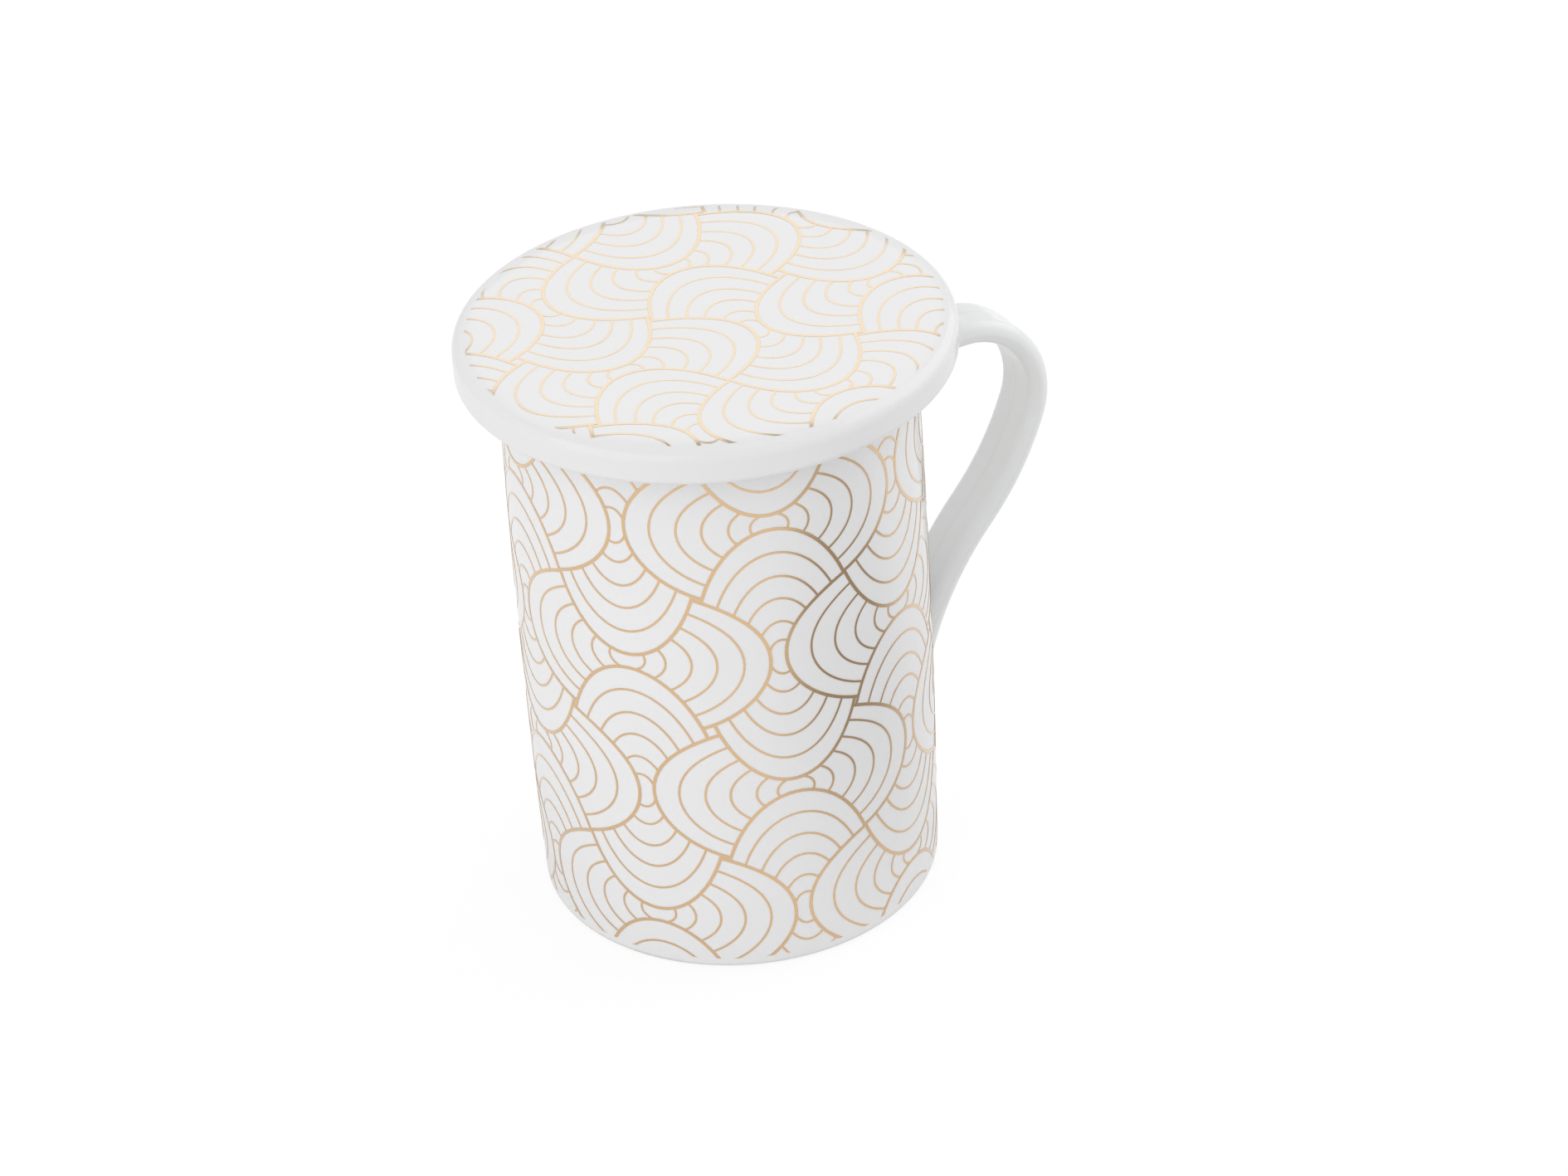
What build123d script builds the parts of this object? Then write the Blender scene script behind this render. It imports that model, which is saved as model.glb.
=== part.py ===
from build123d import *
from math import cos, pi, radians, sin
import os

# Lidded tea mug with infuser: a porcelain cup with a strap handle, a loose flat lid and a steel basket.
# The cup stands on z = 0 with its axis on Z, and the handle points along +X. Lengths are in millimetres
# and angles in degrees.

# Cup: the wall bows outwards between base and rim
cup_height = 110.5
base_diameter = 74.4
belly_diameter = 76.0
belly_height = 58.0
rim_diameter = 74.6
cup_wall = 3.4
cup_floor = 5.0
foot_recess = 1.6
foot_ring_width = 4.2
foot_edge_radius = 1.2
floor_corner_radius = 7.0
rim_edge_radius = 1.1

# Handle: a flat strap that leaves the wall level, bows over and swings back down to the wall
strap_width = 11.6
strap_thickness = 4.3
handle_top_height = 97.2
handle_reach = 69.0
handle_bow_radius = 16.0
handle_back_lean = 22.0
handle_waist_height = 64.5
handle_waist_radius = 55.0
handle_low_lean = 43.0
handle_tail_radius = 62.0
handle_tail_lean = 14.0
handle_tail_height = 23.0
root_flare = 2.4
root_flare_steps = (0, 0.4, 1)
bow_lead = 1.1
tail_bury = 0.4

# Lid: a plate with a slightly dished top, a skirt outside the infuser's flange and a locating ring inside
# its collar
lid_plate = 4.8
lid_dish_depth = 0.8
lid_edge_roll_width = 7.0
lid_edge_roll_drop = 0.8
lid_skirt_drop = 2.2
lid_skirt_wall = 3.4
lid_skirt_clearance = 1.6
lid_top_edge_radius = 2.0
lid_skirt_edge_radius = 1.2
lid_ring_depth = 5.0
lid_ring_wall = 3.0
lid_inner_bevel = 0.8
lid_ring_clearance = 0.6

# Infuser: flange and collar, perforated wall, perforated base
flange_overhang = 2.7
flange_sheet = 0.6
flange_lip_drop = 1.6
collar_clearance = 0.9
collar_height = 12.0
collar_sheet = 0.5
basket_sheet = 0.4
basket_depth = 66.0
collar_lap = 3.0
base_rim_height = 4.0

# Slots in the basket's wall and base
wall_slot_width = 1.4
wall_slot_rows = 2
wall_slot_bridge = 3.0
wall_slot_pitch = 8.0
wall_slot_margin = 2.0
base_slot_width = 1.2
base_slot_length = 5.0
base_slot_bridge = 2.6
base_slot_pitch = 6.4
cutter_depth = 4.0

# Places that follow from the sizes
base_radius = base_diameter / 2
belly_radius = belly_diameter / 2
rim_radius = rim_diameter / 2
floor_top = foot_recess + cup_floor
flange_top = cup_height + flange_sheet
flange_radius = rim_radius + flange_overhang
collar_radius = rim_radius - cup_wall - collar_clearance
basket_radius = collar_radius - collar_sheet
collar_bottom = cup_height - collar_height
basket_bottom = cup_height - basket_depth
basket_top = collar_bottom + collar_lap
lid_ring_radius = basket_radius - lid_ring_clearance
lid_radius = flange_radius + lid_skirt_clearance + lid_skirt_wall
lid_top = flange_top + lid_plate
lid_skirt_bottom = flange_top - lid_skirt_drop


def turned(outline):
    """A closed outline drawn in the XZ plane, turned about the cup's axis."""
    return revolve(outline, axis=Axis.Z)


def bowed_line(bottom, top, inset):
    """The cup's bowed side from one height to another, moved inwards by the inset."""
    side = ThreePointArc((base_radius, 0), (belly_radius, belly_height), (rim_radius, cup_height))
    slice_box = Pos(base_radius, (bottom + top) / 2) * Rectangle(base_radius, top - bottom)
    return Pos(-inset, 0) * (side & slice_box)


def corners_at(sketch, points):
    """The sketch's corners nearest to the given points."""
    return [sketch.vertices().sort_by_distance(Vector(*point))[0] for point in points]


def rounded(sketch, points, radius):
    return fillet(corners_at(sketch, points), radius)


def bevelled(sketch, points, length):
    return chamfer(corners_at(sketch, points), length)


def cup_side_sketch():
    """Half section of the whole cup, from its axis to the outside of the wall, without hollow."""
    side = bowed_line(0, cup_height, 0)
    ends = side.vertices().sort_by(Axis.Y)
    low, high = ends[0], ends[-1]
    outline = side + Polyline((low.X, low.Y), (0, 0), (0, cup_height), (high.X, high.Y))
    return make_face(outline.edges())


def cup_hollow_sketch():
    """Half section of the hollow inside the cup, open at the rim."""
    side = bowed_line(floor_top, cup_height, cup_wall)
    ends = side.vertices().sort_by(Axis.Y)
    low, high = ends[0], ends[-1]
    outline = side + Polyline((low.X, low.Y), (0, floor_top), (0, cup_height), (high.X, high.Y))
    hollow = make_face(outline.edges())
    return rounded(hollow, [(low.X, low.Y)], floor_corner_radius)


def cup_sketch():
    """Half section of the cup's wall, floor and foot ring."""
    recess_radius = base_radius - foot_edge_radius - foot_ring_width
    recess = Pos(recess_radius / 2, foot_recess / 2) * Rectangle(recess_radius, foot_recess)
    section = cup_side_sketch() - cup_hollow_sketch() - recess
    rim_corners = [(rim_radius, cup_height), (rim_radius - cup_wall, cup_height)]
    section = rounded(section, rim_corners, rim_edge_radius)
    section = rounded(section, [(base_radius, 0)], foot_edge_radius)
    return bevelled(section, [(recess_radius, 0)], foot_edge_radius / 2)


def upright(sketch):
    """A sketch drawn in XY, stood up in the XZ plane."""
    return Plane.XZ * sketch


def mug_cup():
    return turned(upright(cup_sketch()))


def strap_section(spread=0.0):
    """The strap's cross section, with its broad side along Y, grown sideways and downwards by the spread."""
    section = SlotOverall(strap_width + 2 * spread, strap_thickness + spread)
    return Pos(0, -spread / 2) * section


def crossing(first, first_lean, second, second_lean):
    """Where two lines in XZ cross, each through a point and leaning outwards from upright by an angle."""
    first_way = (sin(radians(first_lean)), cos(radians(first_lean)))
    second_way = (sin(radians(second_lean)), cos(radians(second_lean)))
    across, up = second[0] - first[0], second[1] - first[1]
    reach = (across * second_way[1] - up * second_way[0]) / sin(radians(first_lean - second_lean))
    return (first[0] + reach * first_way[0], first[1] + reach * first_way[1])


def handle_corners():
    """Corners of the strap's centre line in XZ: bow start, above the bow, waist, above the tail, and end."""
    lean = radians(handle_back_lean)
    bow_start = handle_reach - strap_thickness / 2 - handle_bow_radius
    above_bow = (bow_start + handle_bow_radius * (1 + sin(lean)) / cos(lean), handle_top_height)
    fall = handle_top_height - handle_waist_height
    waist = (above_bow[0] - fall * sin(lean) / cos(lean), handle_waist_height)
    landing = (base_radius, handle_tail_height)
    above_tail = crossing(waist, handle_low_lean, landing, handle_tail_lean)
    hollow_back = base_radius - (base_radius**2 - (strap_width / 2) ** 2) ** 0.5
    sunk = (strap_thickness / 2 + hollow_back + tail_bury) / sin(radians(handle_tail_lean))
    end = (
        landing[0] - sunk * sin(radians(handle_tail_lean)),
        landing[1] - sunk * cos(radians(handle_tail_lean)),
    )
    return (bow_start, handle_top_height), above_bow, waist, above_tail, end


def handle_root():
    """The level run of the strap, flaring downwards and sideways to the wall under its level top."""
    inside = rim_radius - cup_wall / 2
    outside = handle_corners()[0][0] - bow_lead
    sections = []
    for step in root_flare_steps:
        place = Plane(
            origin=(inside + (outside - inside) * step, 0, handle_top_height),
            x_dir=(0, 1, 0),
            z_dir=(1, 0, 0),
        )
        sections.append(place * strap_section(root_flare * (1 - step) ** 2))
    return loft(sections, ruled=True)


def handle_bow():
    """The strap from the end of its level run round the bow and down to the wall."""
    start, *rest = handle_corners()
    start = (start[0] - bow_lead, start[1])
    points = [(x, 0, z) for x, z in (start, *rest)]
    radii = [handle_bow_radius, handle_waist_radius, handle_tail_radius]
    path = FilletPolyline(*points, radius=radii)
    start_plane = Plane(origin=points[0], x_dir=(0, 1, 0), z_dir=(1, 0, 0))
    return sweep(start_plane * strap_section(), path=path)


def mug_handle():
    strap = handle_root() + handle_bow()
    return strap - turned(upright(cup_side_sketch()))


def mug_lid():
    """Plate, skirt and locating ring in one casting."""
    crest = (lid_radius - lid_edge_roll_width, lid_top)
    edge = (lid_radius, lid_top - lid_edge_roll_drop)
    middle = (0, lid_top - lid_dish_depth)
    dish = TangentArc(middle, crest, tangent=(1, 0))
    roll = TangentArc(crest, edge, tangent=dish % 1)
    skirt_inside = lid_radius - lid_skirt_wall
    ring_inside = lid_ring_radius - lid_ring_wall
    ring_bottom = flange_top - lid_ring_depth
    under = Polyline(
        middle,
        (0, flange_top),
        (ring_inside, flange_top),
        (ring_inside, ring_bottom),
        (lid_ring_radius, ring_bottom),
        (lid_ring_radius, flange_top),
        (skirt_inside, flange_top),
        (skirt_inside, lid_skirt_bottom),
        (lid_radius, lid_skirt_bottom),
        edge,
    )
    section = make_face((dish + roll + under).edges())
    section = rounded(section, [edge], lid_top_edge_radius)
    section = rounded(section, [(lid_radius, lid_skirt_bottom)], lid_skirt_edge_radius)
    ring_corners = [(ring_inside, ring_bottom), (lid_ring_radius, ring_bottom)]
    section = bevelled(section, ring_corners + [(skirt_inside, lid_skirt_bottom)], lid_inner_bevel)
    return turned(upright(section))


def infuser_rim():
    """Flange with a turned-down lip that rests on the cup's rim, and the collar below it."""
    lip_bottom = flange_top - flange_lip_drop
    section = make_face(
        Polyline(
            (basket_radius, collar_bottom),
            (collar_radius, collar_bottom),
            (collar_radius, cup_height),
            (flange_radius - flange_sheet, cup_height),
            (flange_radius - flange_sheet, lip_bottom),
            (flange_radius, lip_bottom),
            (flange_radius, flange_top),
            (basket_radius, flange_top),
            close=True,
        )
    )
    section = bevelled(section, [(flange_radius, flange_top), (basket_radius, flange_top)], flange_sheet / 2)
    return turned(upright(section))


def wall_slots():
    """Staggered rows of upright slots round the basket, between the base's rim and the collar."""
    per_row = round(2 * pi * basket_radius / wall_slot_pitch)
    lowest = basket_bottom + base_rim_height + wall_slot_margin
    highest = collar_bottom - wall_slot_margin
    row_pitch = (highest - lowest + wall_slot_bridge) / wall_slot_rows
    slot_length = row_pitch - wall_slot_bridge
    cutter = Box(cutter_depth, wall_slot_width, slot_length)
    slots = []
    for row in range(wall_slot_rows):
        stagger = 180 / per_row * (row % 2)
        ring = PolarLocations(basket_radius, per_row, start_angle=stagger)
        slots += Pos(0, 0, lowest + slot_length / 2 + row * row_pitch) * ring * cutter
    return slots


def infuser_wall():
    tube = Cylinder(basket_radius, basket_top - basket_bottom)
    bore = Cylinder(basket_radius - basket_sheet, basket_top - basket_bottom)
    return Pos(0, 0, (basket_top + basket_bottom) / 2) * (tube - bore) - wall_slots()


def base_slots():
    """Rings of radial slots in the basket's base, each ring with as many as its girth allows."""
    step = base_slot_length + base_slot_bridge
    cutter = Box(base_slot_length, base_slot_width, cutter_depth)
    slots = []
    radius = step
    while radius + base_slot_length / 2 < basket_radius - base_slot_bridge:
        count = int(2 * pi * (radius - base_slot_length / 2) / base_slot_pitch)
        slots += Pos(0, 0, basket_bottom) * PolarLocations(radius, count) * cutter
        radius += step
    return slots


def infuser_base():
    """Perforated disc under the wall, with its edge turned up round the outside of the wall."""
    disc = Pos(0, 0, basket_bottom - basket_sheet / 2) * Cylinder(basket_radius + basket_sheet, basket_sheet)
    edge = Cylinder(basket_radius + basket_sheet, base_rim_height) - Cylinder(basket_radius, base_rim_height)
    return disc + Pos(0, 0, basket_bottom + base_rim_height / 2) * edge - base_slots()


os.makedirs("parts", exist_ok=True)
for build_part in (mug_cup, mug_handle, mug_lid, infuser_rim, infuser_wall, infuser_base):
    export_step(build_part(), f"parts/{build_part.__name__}.step")
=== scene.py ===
import math

import bpy
from mathutils import Matrix, Vector


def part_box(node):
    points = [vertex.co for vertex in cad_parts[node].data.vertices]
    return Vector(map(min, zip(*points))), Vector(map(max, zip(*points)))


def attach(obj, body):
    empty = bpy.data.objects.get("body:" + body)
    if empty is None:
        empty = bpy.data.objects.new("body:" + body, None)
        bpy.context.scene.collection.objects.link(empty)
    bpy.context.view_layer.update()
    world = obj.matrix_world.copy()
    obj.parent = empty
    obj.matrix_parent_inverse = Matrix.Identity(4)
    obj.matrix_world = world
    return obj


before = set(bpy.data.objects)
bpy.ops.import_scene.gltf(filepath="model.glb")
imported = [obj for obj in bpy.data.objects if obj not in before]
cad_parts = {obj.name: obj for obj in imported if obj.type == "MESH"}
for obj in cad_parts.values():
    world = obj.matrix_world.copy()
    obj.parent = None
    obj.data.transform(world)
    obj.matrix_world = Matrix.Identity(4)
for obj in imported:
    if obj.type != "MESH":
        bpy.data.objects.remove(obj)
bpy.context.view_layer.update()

MM = 0.001
WHITE = (1.0, 1.0, 1.0, 1.0)

# Glazes: the two tones that each piece clouds between, then those of the bare foot ring and of the mould line
CUP_TONES = ((0.788, 0.788, 0.794, 1.0), (0.816, 0.812, 0.812, 1.0))
# The handle's glaze is the cup's with a faint green tint, which is painted bounced light
HANDLE_TONES_WITH_PAINTED_BOUNCE = ((0.790, 0.808, 0.800, 1.0), (0.818, 0.828, 0.820, 1.0))
# The lid's glaze is the cup's painted darker: painted shade against the stronger light that falls on its
# upturned top
LID_TONES_WITH_PAINTED_SHADE = ((0.758, 0.758, 0.764, 1.0), (0.786, 0.782, 0.782, 1.0))
BARE_FOOT_TONE = (0.73, 0.70, 0.67, 1.0)
MOULD_LINE_TONE = (0.76, 0.76, 0.76, 1.0)

# Metals: the two tones that each clouds between
STEEL_TONES = ((0.484, 0.480, 0.474, 1.0), (0.724, 0.720, 0.716, 1.0))
CUP_GOLD_TONES = ((0.74, 0.49, 0.26, 1.0), (0.82, 0.57, 0.33, 1.0))
# The lid's gold is the same print as the cup's, painted paler: a painted sheen of the bright light its top
# reflects
LID_GOLD_TONES_WITH_PAINTED_SHEEN = ((0.86, 0.67, 0.44, 1.0), (0.92, 0.74, 0.52, 1.0))

# Unevenness of the finishes, in noise cells to the metre
GLAZE_CLOUDS = 28.0
GLAZE_RIPPLES = 160.0
GLAZE_SPECKS = 2600.0
GOLD_CLOUDS = 120.0
GOLD_GRAIN = 5200.0
STEEL_CLOUDS = 40.0
STEEL_BRUSHING = 90.0
STEEL_BRUSHING_STRETCH = 60.0

# Roughness: the least that a finish has, and what its noise adds. The bare foot's comes on top of the glaze's
GLAZE_ROUGHNESS = (0.09, 0.05)
BARE_FOOT_ROUGHNESS = (0.5, 0.2)
GOLD_ROUGHNESS = (0.12, 0.14)
GOLD_COAT_ROUGHNESS = 0.08
STEEL_ROUGHNESS = (0.14, 0.22)

# Bumps: strength and depth, and how much the glaze's specks stand out against its ripples
GLAZE_BUMP = (0.05, 0.6 * MM)
GLAZE_SPECK_RELIEF = 0.1
GOLD_BUMP = (0.25, 0.02 * MM)
STEEL_BUMP = (0.3, 0.05 * MM)

# Below this height the foot ring is wiped bare of glaze
BARE_FOOT_HEIGHT = 0.45 * MM

# Seam left down the middle of the cast handle: half its width, and its height against the glaze's ripple
MOULD_LINE_HALF_WIDTH = 0.6 * MM
MOULD_LINE_RELIEF = 5.0

# One cell of the print: the ends of six nested ovals, the last of them its outline, in shares of the pitch
OVAL_HALF_LENGTHS = (0.127, 0.266, 0.437, 0.601, 0.775, 0.947)
OVAL_HALF_WIDTHS = (0.092, 0.169, 0.266, 0.357, 0.465, 0.560)
# The cells crowd together in fours: each row and column lies this share of the pitch out of step, by turns
CROWDING = 0.0145

# Its lines: the pitch for which they are divided, their widths, the length of a straight step, the fewest
# steps, and the share of its width that a line keeps at its ends
MIDDLE_PITCH = 27.8 * MM
LINE_WIDTH = 0.41 * MM
OUTLINE_WIDTH = 0.63 * MM
LINE_STEP = 0.55 * MM
FEWEST_STEPS = 8
END_SHARE = 0.88

# How often an angle's range is halved to find where two ovals meet
HALVINGS = 40

# The gold film of a line: how far it reaches over and under the glaze's surface, how much of its height grows
# with the line's width, the share of its width that is flat on top, its profile's height for half its width,
# and the angle from which its edges are crisp
FILM_PROUD = 0.05 * MM
FILM_SUNK = 0.05 * MM
FILM_SWELL = 0.4
BEVEL_SHARE = 0.7
BAND_PROFILE_HEIGHT = 0.5
CRISP_ANGLE = math.radians(20)

# Transfer round the cup: lengths along the wall are angle times ROUND_RADIUS, counted from the handle. The rows
# turn, and the columns lean besides, by these angles in radians
ROUND_RADIUS = 38.0 * MM
BARE_HALF_ANGLE = math.radians(14.0)
CUP_PRINT_BOTTOM = 2.2 * MM
CUP_PRINT_TOP = 107.5 * MM
CUP_FANS = {
    "Columns": 15.0,
    "Rows": 7.0,
    "Centre across": -68.74 * MM,
    "Centre up": 67.23 * MM,
    "Pitch across": 27.59 * MM,
    "Pitch up": 27.96 * MM,
    "Turn": -0.0074,
    "Lean": 0.0392,
    "Crowding": CROWDING,
}

# Transfer on the lid
LID_PRINT_RADIUS = 42.6 * MM
LID_FANS = {
    "Columns": 7.0,
    "Rows": 7.0,
    "Centre across": -20.85 * MM,
    "Centre up": 20.42 * MM,
    "Pitch across": 26.78 * MM,
    "Pitch up": 27.25 * MM,
    "Turn": 0.0122,
    "Lean": 0.0095,
    "Crowding": CROWDING,
}

# Where the surfaces under the prints are read: the cup's wall lies past this share of its radius and ends at
# its rounded edges, the lid's top lies within this depth, and on it the dish ends and the rolled edge is half
# over at these distances from the lid's side
WALL_SHARE = 0.97
WALL_EDGE = 1.2 * MM
LID_TOP_DEPTH = 2 * MM
DISH_END = 7 * MM
ROLL_MIDDLE = 3 * MM

# Camera: its lens and sensor in millimetres, its place before the mug with yaw, pitch and roll, and then a turn
# of it all about the mug's axis
CAMERA_LENS = 105.93
CAMERA_SENSOR = 36.0
CAMERA_SEES_FROM = 0.01
CAMERA_SEES_TO = 20.0
CAMERA_PLACE = (0, -711.770 * MM, 519.681 * MM)
CAMERA_YAW = 0.015628
CAMERA_PITCH = 0.575210
CAMERA_ROLL = 0.063949
CAMERA_TURN = math.radians(-27.76)

# Softboxes: azimuth and elevation in degrees, distance and side in metres, watts
LAMP_TARGET = Vector((0, 0, 0.06))
SOFTBOXES = {
    "softbox_left": (198.0, 26.0, 1.4, 1.5, 4.3),
    "softbox_right": (2.0, 34.0, 1.4, 1.5, 5.0),
    "softbox_behind": (62.0, 36.0, 1.4, 0.6, 0.45),
}

# Studio: the walls' light on matt surfaces, and the walls and ceiling that gloss and metal see, with the sines
# of the heights between which one turns into the other
ROOM_LIGHT = 0.88
WALL_LEVEL = 0.68
CEILING_LEVEL = 0.36
CEILING_STARTS = 0.62
CEILING_FULL = 0.76

# Floor: pale, with a glow that only the camera sees, and a patch of painted shade that only gloss and bounced
# light meet
FLOOR_HALF_SIDE = 3.0
FLOOR_LEVEL = -0.05 * MM
FLOOR_COLOUR = (0.86, 0.86, 0.86, 1.0)
FLOOR_GLOW = 1.045
FLOOR_GLOW_SHARE = 0.8
FLOOR_PAINTED_SHADE_COLOUR = (0.34, 0.34, 0.34, 1.0)
FLOOR_PAINTED_SHADE_PLACE = (0.080, -0.128, 0.0)
FLOOR_PAINTED_SHADE_INNER = 0.040
FLOOR_PAINTED_SHADE_OUTER = 0.112


def socket_of(sockets, key):
    """A node's socket by number, by identifier or by name."""
    if isinstance(key, int):
        return sockets[key]
    for socket in sockets:
        if socket.identifier == key:
            return socket
    return sockets[key]


class Signal:
    """What one socket gives out. Arithmetic on it adds Math nodes."""

    def __init__(self, tree, socket):
        self.tree = tree
        self.socket = socket

    def math(self, operation, *values):
        made = self.tree.node("ShaderNodeMath", {"operation": operation}, dict(enumerate(values)))
        return made["Value"]

    def __add__(self, other):
        return self.math("ADD", self, other)

    def __radd__(self, other):
        return self.math("ADD", other, self)

    def __sub__(self, other):
        return self.math("SUBTRACT", self, other)

    def __rsub__(self, other):
        return self.math("SUBTRACT", other, self)

    def __mul__(self, other):
        return self.math("MULTIPLY", self, other)

    def __rmul__(self, other):
        return self.math("MULTIPLY", other, self)

    def __truediv__(self, other):
        return self.math("DIVIDE", self, other)

    def __mod__(self, other):
        return self.math("FLOORED_MODULO", self, other)

    def __abs__(self):
        return self.math("ABSOLUTE", self)

    def __gt__(self, other):
        return self.math("GREATER_THAN", self, other)

    def __lt__(self, other):
        return self.math("LESS_THAN", self, other)

    def root(self):
        return self.math("SQRT", self)

    def sine(self):
        return self.math("SINE", self)

    def cosine(self):
        return self.math("COSINE", self)

    def odd(self):
        """1 where the nearest whole number is odd, otherwise 0."""
        return self.math("ROUND", self) % 2

    def at_least(self, other):
        return self.math("MAXIMUM", self, other)

    def at_most(self, other):
        return self.math("MINIMUM", self, other)


class Made:
    """A node that has been added. Its outputs are read by name."""

    def __init__(self, tree, made):
        self.tree = tree
        self.made = made

    def __getitem__(self, key):
        return Signal(self.tree, socket_of(self.made.outputs, key))


class Tree:
    """A shader or geometry node tree, to which every node is added in one way."""

    def __init__(self, node_tree):
        self.nodes = node_tree.nodes
        self.links = node_tree.links

    def node(self, kind, settings=None, inputs=None):
        made = self.nodes.new(kind)
        for name, value in (settings or {}).items():
            setattr(made, name, value)
        for key, value in (inputs or {}).items():
            socket = socket_of(made.inputs, key)
            if isinstance(value, Signal):
                self.links.new(value.socket, socket)
            else:
                socket.default_value = value
        return Made(self, made)

    def parts_of(self, vector):
        parts = self.node("ShaderNodeSeparateXYZ", {}, {"Vector": vector})
        return parts["X"], parts["Y"], parts["Z"]

    def vector(self, x=0.0, y=0.0, z=0.0):
        return self.node("ShaderNodeCombineXYZ", {}, {"X": x, "Y": y, "Z": z})["Vector"]


def added(name, data):
    """A new object in the scene."""
    new = bpy.data.objects.new(name, data)
    bpy.context.scene.collection.objects.link(new)
    return new


# ---------------------------------------------------------------- finishes


def new_material(name):
    material = bpy.data.materials.new(name)
    material.use_nodes = True
    material.node_tree.nodes.clear()
    return material, Tree(material.node_tree)


def mixed(tree, factor, low, high):
    """One colour turning into another with the factor."""
    return tree.node(
        "ShaderNodeMix",
        {"data_type": "RGBA"},
        {"Factor_Float": factor, "A_Color": low, "B_Color": high},
    )["Result_Color"]


def noise(tree, place, scale, detail=2.0):
    return tree.node(
        "ShaderNodeTexNoise", {}, {"Vector": place, "Scale": scale, "Detail": detail, "Roughness": 0.5}
    )["Fac"]


def smooth_step(tree, value, start, end, low, high):
    """Turns low into high while the value goes from start to end."""
    return tree.node(
        "ShaderNodeMapRange",
        {"interpolation_type": "SMOOTHSTEP"},
        {"Value": value, "From Min": start, "From Max": end, "To Min": low, "To Max": high},
    )["Result"]


def roughened(unevenness, least, spread):
    return least + spread * unevenness


def bumped(tree, height, strength, depth):
    return tree.node(
        "ShaderNodeBump", {}, {"Strength": strength, "Distance": depth, "Height": height}
    )["Normal"]


def surface(tree, inputs):
    """Ends a material in a Principled shader with these inputs."""
    shader = tree.node("ShaderNodeBsdfPrincipled", {}, inputs)["BSDF"]
    tree.node("ShaderNodeOutputMaterial", {}, {"Surface": shader})


def object_place(tree):
    return tree.node("ShaderNodeTexCoord")["Object"]


def glazed_porcelain(name, tones, bare_foot=False, mould_line=False):
    """White body under a clear glaze that lies a little unevenly.

    The cup's foot ring is left unglazed. The handle's middle keeps a trace of where its mould came apart.
    """
    material, tree = new_material(name)
    place = object_place(tree)
    ripple = noise(tree, place, GLAZE_RIPPLES)
    speck = noise(tree, place, GLAZE_SPECKS, detail=1.0)
    colour = mixed(tree, noise(tree, place, GLAZE_CLOUDS), *tones)
    roughness = roughened(ripple, *GLAZE_ROUGHNESS)
    relief = ripple + GLAZE_SPECK_RELIEF * speck
    if mould_line:
        _, side, _ = tree.parts_of(place)
        seam = (1 - (abs(side) / MOULD_LINE_HALF_WIDTH).at_most(1.0)) * ripple
        relief = relief + seam * MOULD_LINE_RELIEF
        colour = mixed(tree, seam, colour, MOULD_LINE_TONE)
    if bare_foot:
        _, _, height = tree.parts_of(place)
        bare = height < BARE_FOOT_HEIGHT
        colour = mixed(tree, bare, colour, BARE_FOOT_TONE)
        roughness = roughness + bare * roughened(speck, *BARE_FOOT_ROUGHNESS)
    surface(
        tree,
        {"Base Color": colour, "Roughness": roughness, "Normal": bumped(tree, relief, *GLAZE_BUMP)},
    )
    return material


def gold_lustre(name, tones):
    """Thin burnished gold, slightly broken where the brushed-on lustre is thinner."""
    material, tree = new_material(name)
    place = object_place(tree)
    grain = noise(tree, place, GOLD_GRAIN)
    surface(
        tree,
        {
            "Base Color": mixed(tree, noise(tree, place, GOLD_CLOUDS, detail=3.0), *tones),
            "Metallic": 1.0,
            "Roughness": roughened(grain, *GOLD_ROUGHNESS),
            "Coat Weight": 1.0,
            "Coat Roughness": GOLD_COAT_ROUGHNESS,
            "Normal": bumped(tree, grain, *GOLD_BUMP),
        },
    )
    return material


def satin_steel():
    """Pressed stainless steel with fine brushing round the basket."""
    material, tree = new_material("satin_steel")
    place = object_place(tree)
    x, y, z = tree.parts_of(place)
    brushed = noise(tree, tree.vector(x, y, z * STEEL_BRUSHING_STRETCH), STEEL_BRUSHING, detail=4.0)
    cloud = noise(tree, place, STEEL_CLOUDS)
    surface(
        tree,
        {
            "Base Color": mixed(tree, 0.5 * (brushed + cloud), *STEEL_TONES),
            "Metallic": 1.0,
            "Roughness": roughened(brushed, *STEEL_ROUGHNESS),
            "Normal": bumped(tree, brushed, *STEEL_BUMP),
        },
    )
    return material


def finish_node(name, material):
    """Gives a carried-over CAD node its finish."""
    for material_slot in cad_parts[name].material_slots:
        material_slot.material = material


# ---------------------------------------------------------------- printed gold lines


def meets_neighbour(half_length, half_width, distance):
    """Angle on an oval, from its flank, at which it comes out from under the outline of the fan beside it."""
    outline_length, outline_width = OVAL_HALF_LENGTHS[-1], OVAL_HALF_WIDTHS[-1]
    low, high = 0.0, math.pi / 2
    for _ in range(HALVINGS):
        angle = (low + high) / 2
        across = (half_width * math.cos(angle) - distance) / outline_length
        along = half_length * math.sin(angle) / outline_width
        if across**2 + along**2 < 1:
            low = angle
        else:
            high = angle
    return high


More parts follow.
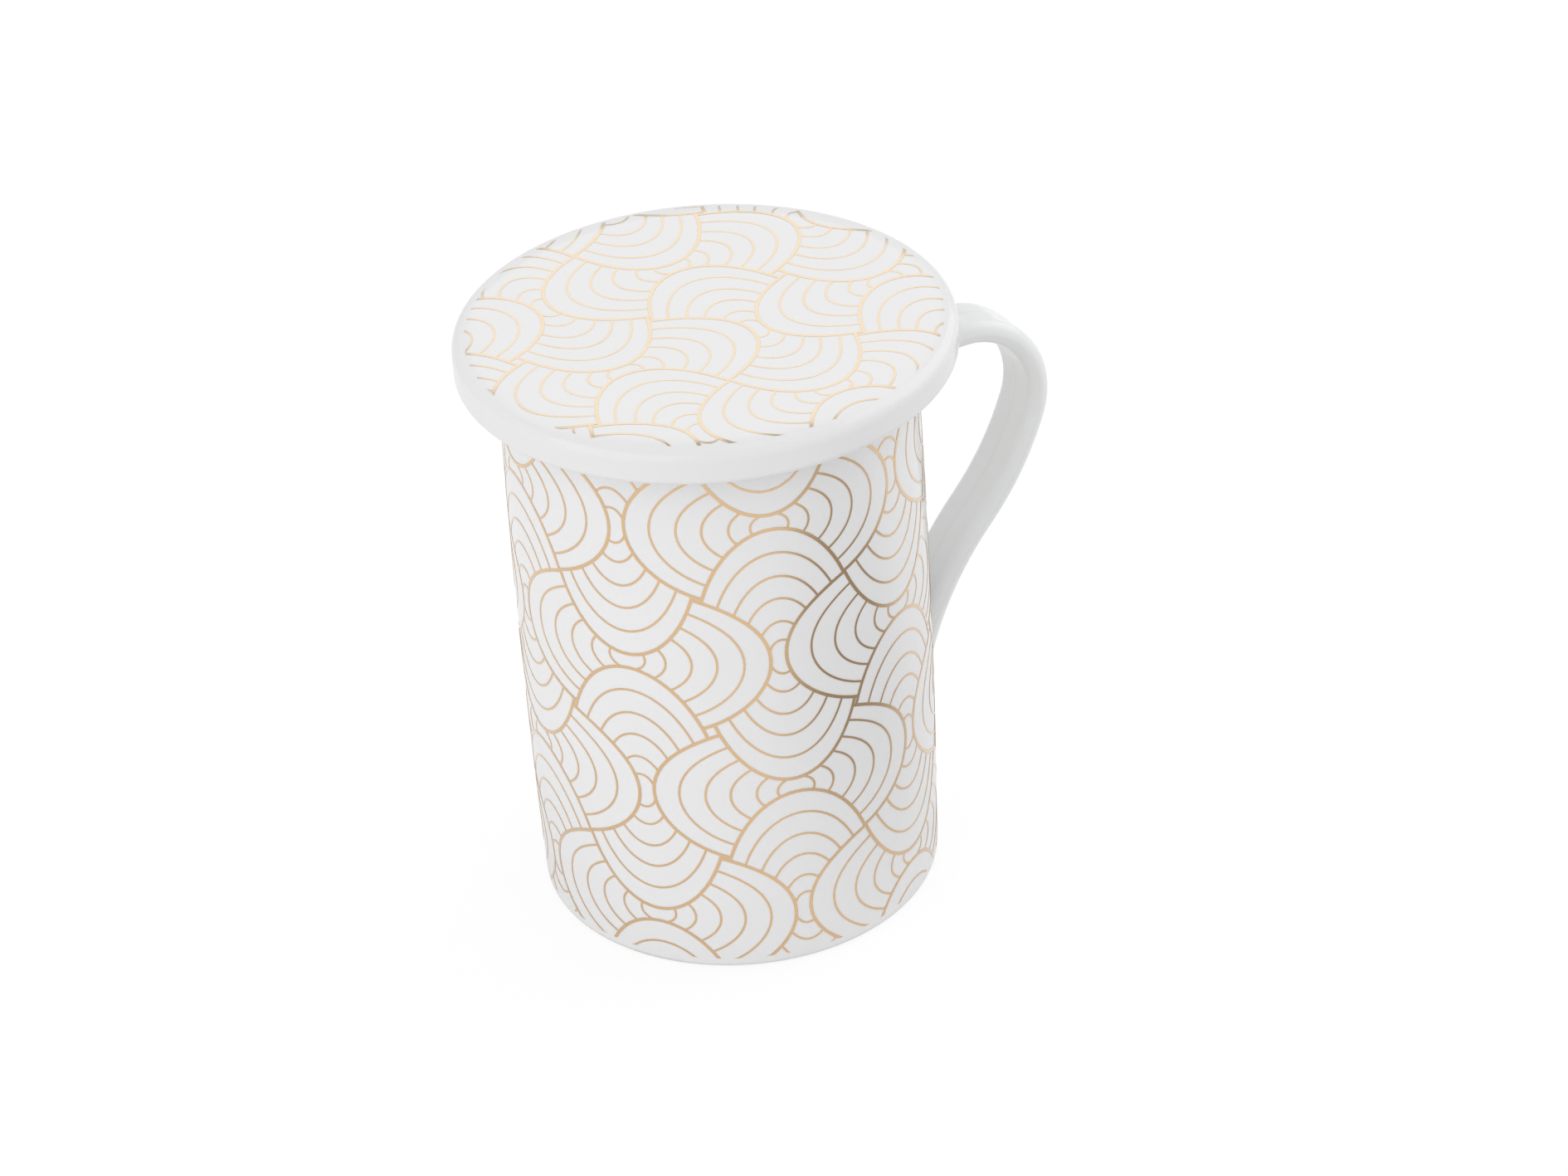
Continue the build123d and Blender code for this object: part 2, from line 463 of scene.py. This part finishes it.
def fan_lines():
    """The lines of one fan, as edges on the flat: each oval's two ends, cut off at the fans on either side.

    The fan on the right is the nearer one.
    """
    points, edges, half_widths = [], [], []
    for half_length, half_width in zip(OVAL_HALF_LENGTHS, OVAL_HALF_WIDTHS):
        is_outline = half_length == OVAL_HALF_LENGTHS[-1]
        line_half_width = (OUTLINE_WIDTH if is_outline else LINE_WIDTH) / 2
        start = meets_neighbour(half_length, half_width, 1 - 2 * CROWDING)
        sweep = math.pi - start - meets_neighbour(half_length, half_width, 1 + 2 * CROWDING)
        length = sweep * (half_length + half_width) / 2 * MIDDLE_PITCH
        steps = max(FEWEST_STEPS, math.ceil(length / LINE_STEP))
        for end in (1, -1):
            first = len(points)
            for step in range(steps + 1):
                angle = start + sweep * step / steps
                points.append((half_width * math.cos(angle), end * half_length * math.sin(angle), 0))
                half_widths.append(line_half_width * (END_SHARE if step in (0, steps) else 1.0))
            edges += [(first + step, first + step + 1) for step in range(steps)]
    mesh = bpy.data.meshes.new("fan_lines")
    mesh.from_pydata(points, edges, [])
    mesh.attributes.new("half_width", "FLOAT", "POINT").data.foreach_set("value", half_widths)
    return mesh


def reach(a, b):
    """Distance from the origin."""
    return (a * a + b * b).root()


def arc(radius, aside):
    """How far a circle reaches, this far to the side of its centre."""
    return (radius * radius - aside * aside).root()


def new_print_tree(name, sizes):
    """A geometry tree that takes the fan's lines and named sizes, and gives the print."""
    group = bpy.data.node_groups.new(name, "GeometryNodeTree")
    group.interface.new_socket("Fan lines", in_out="INPUT", socket_type="NodeSocketGeometry")
    for size in sizes:
        group.interface.new_socket(size, in_out="INPUT", socket_type="NodeSocketFloat")
    group.interface.new_socket("Gold material", in_out="INPUT", socket_type="NodeSocketMaterial")
    group.interface.new_socket("Print", in_out="OUTPUT", socket_type="NodeSocketGeometry")
    tree = Tree(group)
    return group, tree, tree.node("NodeGroupInput")


def position_parts(tree):
    return tree.parts_of(tree.node("GeometryNodeInputPosition")["Position"])


def moved_to(tree, geometry, x, y, z):
    return tree.node(
        "GeometryNodeSetPosition", {}, {"Geometry": geometry, "Position": tree.vector(x, y, z)}
    )["Geometry"]


def realized(tree, geometry):
    return tree.node("GeometryNodeRealizeInstances", {}, {"Geometry": geometry})["Geometry"]


def repeated_fans(tree, given):
    """The fan's lines on a grid of cells, every other one turned a quarter, in the print's flat sizes.

    Cells crowd together in fours, and in the odd rows the fan is turned half round to its nearer neighbour.
    """
    cells = tree.node(
        "GeometryNodeMeshGrid",
        {},
        {
            "Size X": given["Columns"] - 1,
            "Size Y": given["Rows"] - 1,
            "Vertices X": given["Columns"],
            "Vertices Y": given["Rows"],
        },
    )["Mesh"]
    column, row, _ = position_parts(tree)
    nudged_column = column + given["Crowding"] * (1 - 2 * column.odd())
    nudged_row = row + given["Crowding"] * (1 - 2 * row.odd())
    cells = moved_to(tree, cells, nudged_column, nudged_row, 0.0)
    column, row, _ = position_parts(tree)
    around = (column + row).odd() * (math.pi / 2) + row.odd() * math.pi
    fans = tree.node(
        "GeometryNodeInstanceOnPoints",
        {},
        {"Points": cells, "Instance": given["Fan lines"], "Rotation": tree.vector(z=around)},
    )["Instances"]
    column, row, _ = position_parts(tree)
    right = column * given["Pitch across"]
    up = row * given["Pitch up"]
    leaning = given["Turn"] + given["Lean"]
    across = given["Centre across"] + right * given["Turn"].cosine() - up * leaning.sine()
    along = given["Centre up"] + right * given["Turn"].sine() + up * leaning.cosine()
    return moved_to(tree, realized(tree, fans), across, along, 0.0)


def without(tree, geometry, unwanted):
    return tree.node(
        "GeometryNodeDeleteGeometry", {"domain": "POINT"}, {"Geometry": geometry, "Selection": unwanted}
    )["Geometry"]


def as_film(tree, lines):
    """Flat lines as closed bands of film with bevelled edges, their height along Z."""
    curves = tree.node("GeometryNodeMeshToCurve", {}, {"Mesh": lines})["Curve"]
    half_width = tree.node("GeometryNodeInputNamedAttribute", {"data_type": "FLOAT"}, {"Name": "half_width"})
    band = tree.node(
        "GeometryNodeCurvePrimitiveQuadrilateral",
        {"mode": "TRAPEZOID"},
        {"Bottom Width": 2.0, "Top Width": 2.0 * BEVEL_SHARE, "Height": BAND_PROFILE_HEIGHT, "Offset": 0.0},
    )["Curve"]
    return tree.node(
        "GeometryNodeCurveToMesh",
        {},
        {"Curve": curves, "Profile Curve": band, "Scale": half_width["Attribute"], "Fill Caps": True},
    )["Mesh"]


def film_height(z):
    """Height over the glaze: a band's top stands proud, most on a wide line, and its underside is sunk."""
    widest = BAND_PROFILE_HEIGHT / 2 * OUTLINE_WIDTH / 2
    proud = FILM_PROUD * (1 - FILM_SWELL + FILM_SWELL * (z / widest))
    return (z > 0) * (proud + FILM_SUNK) - FILM_SUNK


def finished_print(tree, geometry, given):
    """Keeps the bands' bevels crisp, gives them their gold and hands them on."""
    edge_angle = tree.node("GeometryNodeInputMeshEdgeAngle")["Unsigned Angle"]
    crisp = tree.node(
        "GeometryNodeSetShadeSmooth",
        {"domain": "EDGE"},
        {"Geometry": geometry, "Selection": edge_angle > CRISP_ANGLE, "Shade Smooth": False},
    )["Geometry"]
    gold = tree.node(
        "GeometryNodeSetMaterial", {}, {"Geometry": realized(tree, crisp), "Material": given["Gold material"]}
    )["Geometry"]
    tree.node("NodeGroupOutput", {}, {"Print": gold})


def cup_print_tree():
    """Fans cut to the transfer's edges and wrapped round the bowed wall."""
    area = ("Print left", "Print right", "Print bottom", "Print top")
    wall = ("Round radius", "Bow centre", "Bow height", "Bow radius")
    group, tree, given = new_print_tree("cup_print", (*CUP_FANS, *area, *wall))
    fans = repeated_fans(tree, given)
    across, up, _ = position_parts(tree)
    past_sides = (given["Print left"] - across).at_least(across - given["Print right"])
    past_ends = (given["Print bottom"] - up).at_least(up - given["Print top"])
    bands = as_film(tree, without(tree, fans, past_sides.at_least(past_ends) > LINE_STEP))
    across, up, z = position_parts(tree)
    angle = across.at_least(given["Print left"]).at_most(given["Print right"]) / given["Round radius"]
    up = up.at_least(given["Print bottom"]).at_most(given["Print top"])
    out = given["Bow centre"] + arc(given["Bow radius"], up - given["Bow height"]) + film_height(z)
    wrapped = moved_to(tree, bands, out * angle.cosine(), out * angle.sine(), up)
    finished_print(tree, wrapped, given)
    return group


def lid_print_tree():
    """Fans cut to a disc and laid on the dished, rolled-over top."""
    dish_sizes = ("Dish height", "Dish radius", "Crest radius")
    roll_sizes = ("Roll centre", "Roll height", "Roll radius")
    group, tree, given = new_print_tree("lid_print", (*LID_FANS, "Print radius", *dish_sizes, *roll_sizes))
    fans = repeated_fans(tree, given)
    across, up, _ = position_parts(tree)
    bands = as_film(tree, without(tree, fans, reach(across, up) > given["Print radius"] + LINE_STEP))
    across, up, z = position_parts(tree)
    kept = (given["Print radius"] / reach(across, up)).at_most(1.0)
    radius = reach(across, up) * kept
    dish = given["Dish height"] - arc(given["Dish radius"], radius)
    roll = given["Roll height"] + arc(given["Roll radius"], radius - given["Roll centre"])
    height = dish + (roll - dish) * (radius > given["Crest radius"]) + film_height(z)
    laid = moved_to(tree, bands, across * kept, up * kept, height)
    finished_print(tree, laid, given)
    return group


def made_by_tree(name, mesh, group, sizes):
    """The mesh that a tree makes from another mesh, as a plain object of its own."""
    source = added(name + "_source", mesh)
    modifier = source.modifiers.new("tree", "NODES")
    modifier.node_group = group
    for item in group.interface.items_tree:
        if item.name in sizes:
            modifier[item.identifier] = sizes[item.name]
    evaluated = source.evaluated_get(bpy.context.evaluated_depsgraph_get())
    made = bpy.data.meshes.new_from_object(evaluated)
    made.name = name
    source.modifiers.remove(modifier)
    bpy.data.objects.remove(source)
    return added(name, made)


def rings_of(name):
    """Radius and height of every point of a turned CAD node."""
    return [(math.hypot(v.co.x, v.co.y), v.co.z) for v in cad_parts[name].data.vertices]


def circle_through(a, b, c):
    """Centre and radius of the circle through three points."""
    ab, ac = Vector(b) - Vector(a), Vector(c) - Vector(a)
    twice_area = 2 * (ab.x * ac.y - ab.y * ac.x)
    to_centre = Vector(
        (
            ac.y * ab.length_squared - ab.y * ac.length_squared,
            ab.x * ac.length_squared - ac.x * ab.length_squared,
        )
    ) / twice_area
    return to_centre + Vector(a), to_centre.length


def cup_wall_sizes():
    """The bowed wall's arc, from the points of the cup's outside."""
    low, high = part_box("mug_cup")
    outside = [ring for ring in rings_of("mug_cup") if ring[0] > WALL_SHARE * high.y]
    bottom = min(outside, key=lambda ring: abs(ring[1] - low.z - WALL_EDGE))
    top = min(outside, key=lambda ring: abs(ring[1] - high.z + WALL_EDGE))
    belly = max(outside)
    centre, radius = circle_through(bottom, belly, top)
    return {"Bow centre": centre.x, "Bow height": centre.y, "Bow radius": radius}


def lid_top_sizes():
    """The dish's arc and the rolled edge's arc, from the points of the lid's top."""
    _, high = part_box("mug_lid")
    top = [ring for ring in rings_of("mug_lid") if ring[1] > high.z - LID_TOP_DEPTH]
    middle = min(top)
    crest = min(top, key=lambda ring: abs(ring[0] - (high.y - DISH_END)))
    rolled = min(top, key=lambda ring: abs(ring[0] - (high.y - ROLL_MIDDLE)))
    rise = crest[1] - middle[1]
    dish_radius = (crest[0] ** 2 + rise**2) / (2 * rise)
    slope = math.asin(crest[0] / dish_radius)
    inwards = Vector((math.sin(slope), -math.cos(slope)))
    step = Vector(rolled) - Vector(crest)
    roll_radius = step.length_squared / (2 * step.dot(inwards))
    centre = Vector(crest) + inwards * roll_radius
    return {
        "Dish height": middle[1] + dish_radius,
        "Dish radius": dish_radius,
        "Crest radius": crest[0],
        "Roll centre": centre.x,
        "Roll height": centre.y,
        "Roll radius": roll_radius,
    }


def gold_prints():
    """The cup's print and the lid's print, made from the same fan."""
    lines = fan_lines()
    opposite_handle = -math.pi * ROUND_RADIUS
    half_length = (math.pi - BARE_HALF_ANGLE) * ROUND_RADIUS
    cup_sizes = {
        "Print left": opposite_handle - half_length,
        "Print right": opposite_handle + half_length,
        "Print bottom": CUP_PRINT_BOTTOM,
        "Print top": CUP_PRINT_TOP,
        "Round radius": ROUND_RADIUS,
        "Gold material": gold_lustre("cup_gold", CUP_GOLD_TONES),
        **CUP_FANS,
        **cup_wall_sizes(),
    }
    lid_sizes = {
        "Print radius": LID_PRINT_RADIUS,
        # The lid's gold carries a painted sheen, paler than the cup's
        "Gold material": gold_lustre("lid_gold_painted_sheen", LID_GOLD_TONES_WITH_PAINTED_SHEEN),
        **LID_FANS,
        **lid_top_sizes(),
    }
    cup_print = made_by_tree("gold_print_cup", lines, cup_print_tree(), cup_sizes)
    lid_print = made_by_tree("gold_print_lid", lines, lid_print_tree(), lid_sizes)
    return cup_print, lid_print


# ---------------------------------------------------------------- camera, light and floor


def place_camera():
    camera = added("camera", bpy.data.cameras.new("camera"))
    camera.data.sensor_width = CAMERA_SENSOR
    camera.data.sensor_fit = "HORIZONTAL"
    camera.data.lens = CAMERA_LENS
    camera.data.clip_start = CAMERA_SEES_FROM
    camera.data.clip_end = CAMERA_SEES_TO
    sine, cosine = math.sin(CAMERA_YAW), math.cos(CAMERA_YAW)
    forward = Vector((sine * math.cos(CAMERA_PITCH), cosine * math.cos(CAMERA_PITCH), -math.sin(CAMERA_PITCH)))
    level = Vector((cosine, -sine, 0))
    down = forward.cross(level)
    right = math.cos(CAMERA_ROLL) * level + math.sin(CAMERA_ROLL) * down
    below = -math.sin(CAMERA_ROLL) * level + math.cos(CAMERA_ROLL) * down
    axes = Matrix((right, -below, -forward)).transposed()
    place = Matrix.Translation(CAMERA_PLACE) @ axes.to_4x4()
    camera.matrix_world = Matrix.Rotation(CAMERA_TURN, 4, "Z") @ place
    bpy.context.scene.camera = camera


def softbox(name, azimuth, elevation, distance, side, watts):
    """A square lamp aimed at the middle of the mug."""
    lamp = bpy.data.lights.new(name, "AREA")
    lamp.shape = "SQUARE"
    lamp.size = side
    lamp.energy = watts
    light = added(name, lamp)
    around, above = math.radians(azimuth), math.radians(elevation)
    out = Vector((math.cos(around) * math.cos(above), math.sin(around) * math.cos(above), math.sin(above)))
    light.location = LAMP_TARGET + out * distance
    light.rotation_euler = out.to_track_quat("Z", "Y").to_euler()


def white_surroundings():
    world = bpy.data.worlds.new("white_room")
    world.use_nodes = True
    world.node_tree.nodes.clear()
    bpy.context.scene.world = world
    tree = Tree(world.node_tree)
    path = tree.node("ShaderNodeLightPath")
    _, _, height = tree.parts_of(tree.node("ShaderNodeTexCoord")["Generated"])
    seen_in_gloss = smooth_step(tree, height, CEILING_STARTS, CEILING_FULL, WALL_LEVEL, CEILING_LEVEL)
    light, mirrored, white = [
        tree.node("ShaderNodeBackground", {}, {"Color": WHITE, "Strength": strength})["Background"]
        for strength in (ROOM_LIGHT, seen_in_gloss, 1.0)
    ]
    glossy = path["Is Glossy Ray"].at_least(path["Is Transmission Ray"])
    both = tree.node("ShaderNodeMixShader", {}, {0: glossy, 1: light, 2: mirrored})["Shader"]
    shown = tree.node("ShaderNodeMixShader", {}, {0: path["Is Camera Ray"], 1: both, 2: white})["Shader"]
    tree.node("ShaderNodeOutputWorld", {}, {"Surface": shown})


def pale_floor():
    mesh = bpy.data.meshes.new("floor")
    signs = ((-1, -1), (1, -1), (1, 1), (-1, 1))
    corners = [(x * FLOOR_HALF_SIDE, y * FLOOR_HALF_SIDE, FLOOR_LEVEL) for x, y in signs]
    mesh.from_pydata(corners, [], [(0, 1, 2, 3)])
    floor = added("floor", mesh)
    material, tree = new_material("pale_floor")
    seen = tree.node("ShaderNodeLightPath")["Is Camera Ray"]
    # Painted shade: a dark patch of floor beside the mug, which the camera doesn't see but gloss and bounced
    # light do
    away = tree.node("ShaderNodeVectorMath", {"operation": "DISTANCE"}, {0: object_place(tree), 1: FLOOR_PAINTED_SHADE_PLACE})
    painted_shade = smooth_step(tree, away["Value"], FLOOR_PAINTED_SHADE_INNER, FLOOR_PAINTED_SHADE_OUTER, 1.0, 0.0)
    colour = mixed(tree, painted_shade * (1 - seen), FLOOR_COLOUR, FLOOR_PAINTED_SHADE_COLOUR)
    matt = tree.node("ShaderNodeBsdfDiffuse", {}, {"Color": colour})["BSDF"]
    glow = tree.node("ShaderNodeEmission", {}, {"Color": WHITE, "Strength": FLOOR_GLOW})["Emission"]
    shown = tree.node("ShaderNodeMixShader", {}, {0: seen * FLOOR_GLOW_SHARE, 1: matt, 2: glow})["Shader"]
    tree.node("ShaderNodeOutputMaterial", {}, {"Surface": shown})
    mesh.materials.append(material)


bpy.context.scene.view_settings.view_transform = "Standard"
place_camera()
white_surroundings()
pale_floor()
for softbox_name, settings in SOFTBOXES.items():
    softbox(softbox_name, *settings)

finish_node("mug_cup", glazed_porcelain("cup_porcelain", CUP_TONES, bare_foot=True))
# The handle's glaze carries a painted green tint of bounced light
finish_node("mug_handle", glazed_porcelain("handle_porcelain_painted_bounce", HANDLE_TONES_WITH_PAINTED_BOUNCE, mould_line=True))
# The lid's glaze is painted darker, as painted shade
finish_node("mug_lid", glazed_porcelain("lid_porcelain_painted_shade", LID_TONES_WITH_PAINTED_SHADE))
steel = satin_steel()
for node_name in ("infuser_rim", "infuser_wall", "infuser_base"):
    finish_node(node_name, steel)

cup_print, lid_print = gold_prints()
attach(cup_print, "mug")
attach(lid_print, "lid")
